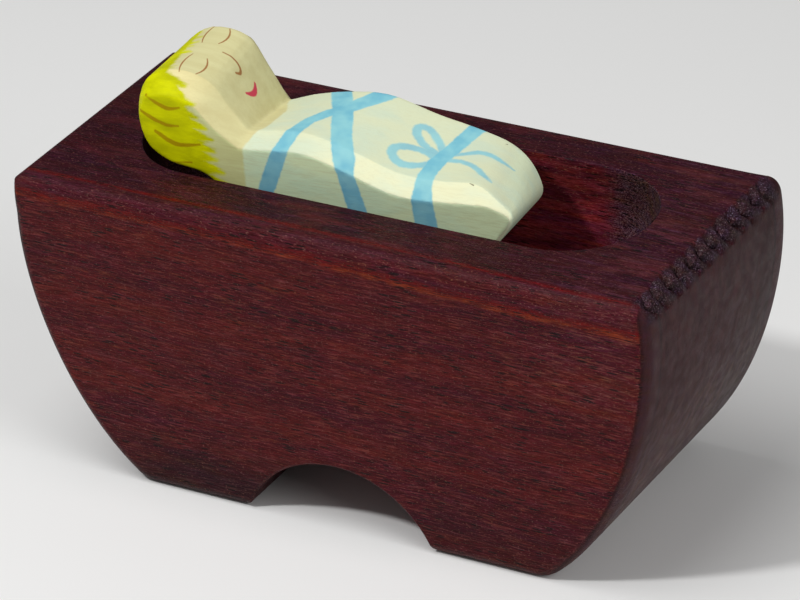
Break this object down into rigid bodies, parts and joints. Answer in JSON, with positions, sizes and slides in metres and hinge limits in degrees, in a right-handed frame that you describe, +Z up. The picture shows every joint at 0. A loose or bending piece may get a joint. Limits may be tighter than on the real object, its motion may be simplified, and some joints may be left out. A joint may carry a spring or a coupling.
{
  "type": "nativity baby and manger figurine",
  "caption": "Small wooden nativity figurine: a swaddled carved baby lying loose in the routed pocket of a boat-shaped manger block that stands on two feet.",
  "frame": {"origin": "on the floor, under the middle of the manger block", "axes": "+X from the baby's head to its feet, +Y to the back of the block, +Z up"},
  "size_m": [0.096, 0.04, 0.0588],
  "materials": {
    "stained_beech": "dark mahogany stain under a thin satin lacquer, long grain along X, duller end grain",
    "painted_maple": "pale wood under thin matte paint: yellow hair, whitish swaddling, light blue ribbons, fine brown lines"
  },
  "bodies": {
    "manger": {"manger_block": "stained_beech"},
    "baby": {"baby_figure": "painted_maple"}
  },
  "joints": [
    {"name": "baby_lift", "type": "slide", "parent": "manger", "child": "baby", "axis": [0, 0, 1], "range_m": [0, 0.03]}
  ]
}
